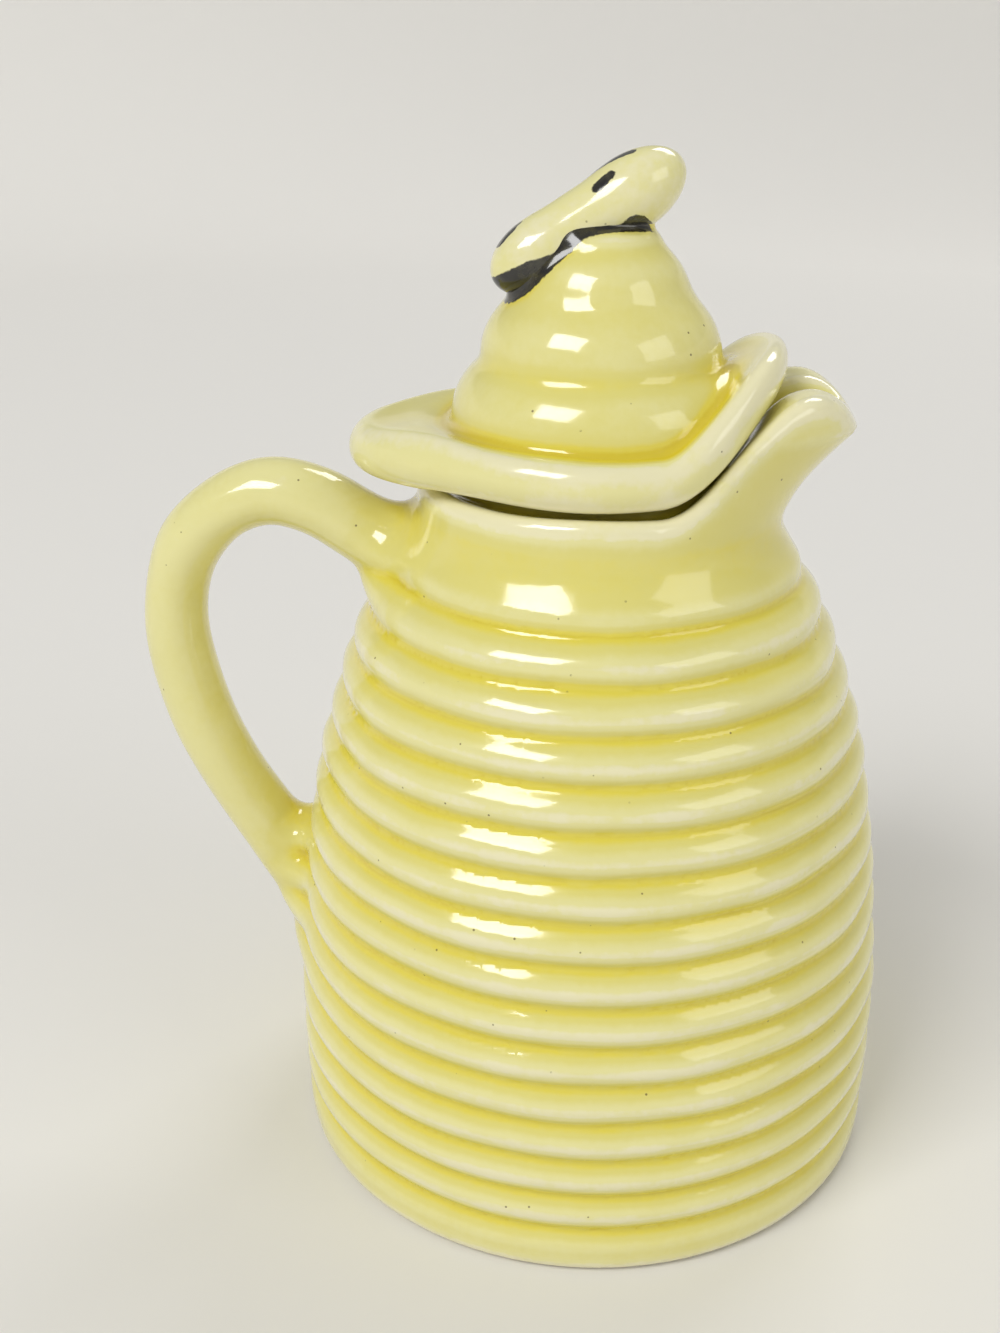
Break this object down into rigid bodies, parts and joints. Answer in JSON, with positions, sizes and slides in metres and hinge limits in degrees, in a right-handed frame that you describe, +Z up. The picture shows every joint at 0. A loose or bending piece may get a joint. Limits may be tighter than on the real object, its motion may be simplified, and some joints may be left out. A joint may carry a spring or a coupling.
{
  "type": "honey pot",
  "caption": "Hive-ribbed glazed honey pot with a loop handle, a raised pouring spout and a lift-off lid with a bill over the handle's root, topped by a painted bee.",
  "frame": {"origin": "middle of the flat foot, on the table", "axes": "+Z up along the pot's axis, +X toward the spout, handle at -X"},
  "size_m": [0.1057, 0.085, 0.139],
  "materials": {
    "yellow_glaze": "gloss",
    "bee_glaze": "gloss"
  },
  "bodies": {
    "pot": {"hive_body": "yellow_glaze", "collar_spout": "yellow_glaze", "loop_handle": "yellow_glaze"},
    "lid": {"lid_hood": "yellow_glaze", "lid_plug": "yellow_glaze", "bee_finial": "bee_glaze"}
  },
  "joints": [
    {"name": "lid_lift", "type": "slide", "parent": "pot", "child": "lid", "axis": [0, 0, 1], "range_m": [0, 0.06]}
  ]
}
